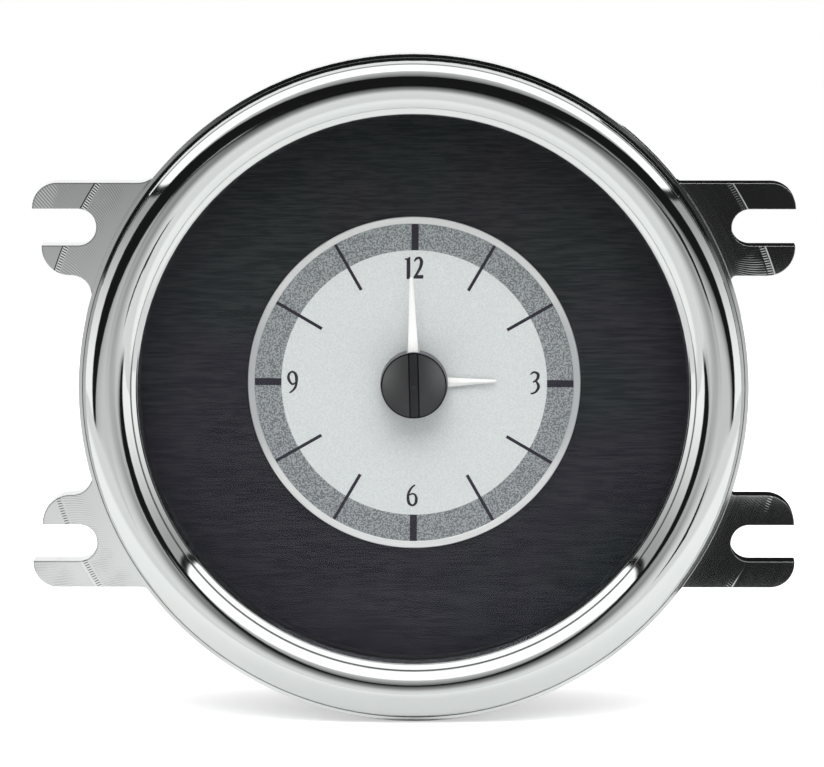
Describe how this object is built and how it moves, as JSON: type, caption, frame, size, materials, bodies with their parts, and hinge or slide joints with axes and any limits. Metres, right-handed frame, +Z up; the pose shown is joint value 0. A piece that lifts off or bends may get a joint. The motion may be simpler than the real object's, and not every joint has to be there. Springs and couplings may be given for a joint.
{
  "type": "car dashboard clock",
  "caption": "Round dashboard clock with a polished crowned bezel, slotted mounting ears, black dial, silver centre, two white hands and a geared stepper movement.",
  "frame": {"origin": "on the dial's axis, in the plane of the ears' front faces, which bear on the dashboard", "axes": "+Z up to twelve o'clock, the dial faces -Y, +X to the viewer's right"},
  "size_m": [0.1202, 0.056, 0.1054],
  "materials": {
    "billet": "polished, with fine milling marks on the ears",
    "rubber": "matte",
    "lens": "clear, flat",
    "black_plastic": "moulded, fine grain",
    "dial_black": "black, brushed crosswise",
    "dial_silver": "silver lacquer with a fine sparkle",
    "opal": "opal acrylic",
    "case_black": "moulded, spark-eroded grain",
    "zinc_steel": "zinc plated",
    "board": "solder resist",
    "lamp": "moulded lens",
    "bright_steel": "turned",
    "sleeve_blue": "shrink sleeve",
    "ivory_plastic": "moulded",
    "brass": "turned and stamped",
    "soft_iron": "stamped",
    "copper": "enamelled wire",
    "ferrite": "ground",
    "hand_white": "white lacquer",
    "cap_black": "moulded, satin"
  },
  "bodies": {
    "case": {"bezel": "billet", "lens_gasket": "rubber", "lens": "lens", "spacer_ring": "black_plastic", "dial_plate": "dial_black", "dial_centre": "dial_silver", "light_guide": "opal", "case_gasket": "rubber", "rear_case": "case_black", "case_screws": "zinc_steel", "circuit_board": "board", "board_screws": "zinc_steel", "dial_lamps": "lamp", "control_chip": "black_plastic", "quartz_crystal": "bright_steel", "smoothing_capacitor": "sleeve_blue", "board_spacers": "ivory_plastic", "front_plate": "ivory_plastic", "middle_plate": "ivory_plastic", "rear_plate": "ivory_plastic", "plate_pillars": "brass", "movement_screws": "zinc_steel", "stator": "soft_iron", "coil_core": "soft_iron", "coil_bobbin": "ivory_plastic", "coil_winding": "copper", "stator_screws": "zinc_steel", "stem_bush": "brass", "connector_socket": "black_plastic", "connector_pins": "brass"},
    "minute": {"minute_hand": "hand_white", "hub_cap": "cap_black", "minute_arbor": "bright_steel", "retaining_collet": "brass"},
    "hour": {"hour_hand": "hand_white", "hour_wheel": "brass"},
    "minute_work": {"minute_wheel": "brass", "minute_pinion": "bright_steel"},
    "centre": {"centre_wheel": "brass", "clutch_spring": "bright_steel"},
    "third": {"third_wheel": "brass", "third_pinion": "bright_steel"},
    "rotor": {"rotor_arbor": "bright_steel", "rotor_magnet": "ferrite"},
    "setting": {"set_stem": "bright_steel", "set_knob": "black_plastic"}
  },
  "joints": [
    {"name": "minute_turn", "type": "hinge", "parent": "case", "child": "minute", "pos_m": [0, 0, 0], "axis": [0, 1, 0], "continuous": true},
    {"name": "hour_turn", "type": "hinge", "parent": "case", "child": "hour", "pos_m": [0, 0, 0], "axis": [0, 1, 0], "continuous": true},
    {"name": "minute_work_turn", "type": "hinge", "parent": "case", "child": "minute_work", "pos_m": [0, 0, -0.009], "axis": [0, 1, 0], "continuous": true},
    {"name": "set_turn", "type": "hinge", "parent": "case", "child": "setting", "pos_m": [0, 0, -0.018], "axis": [0, 1, 0], "continuous": true},
    {"name": "centre_turn", "type": "hinge", "parent": "case", "child": "centre", "pos_m": [0, 0, 0], "axis": [0, 1, 0], "continuous": true},
    {"name": "third_turn", "type": "hinge", "parent": "case", "child": "third", "pos_m": [0, 0, 0.0105], "axis": [0, 1, 0], "continuous": true},
    {"name": "rotor_turn", "type": "hinge", "parent": "case", "child": "rotor", "pos_m": [0.00779, 0, 0.015], "axis": [0, 1, 0], "continuous": true}
  ],
  "couplings": [
    {"joint": "hour_turn", "follows": "minute_turn", "ratio": 0.083333},
    {"joint": "minute_work_turn", "follows": "minute_turn", "ratio": -0.33333},
    {"joint": "set_turn", "follows": "minute_turn", "ratio": 1},
    {"joint": "centre_turn", "follows": "minute_turn", "ratio": 1},
    {"joint": "third_turn", "follows": "minute_turn", "ratio": -6},
    {"joint": "rotor_turn", "follows": "minute_turn", "ratio": 30}
  ]
}
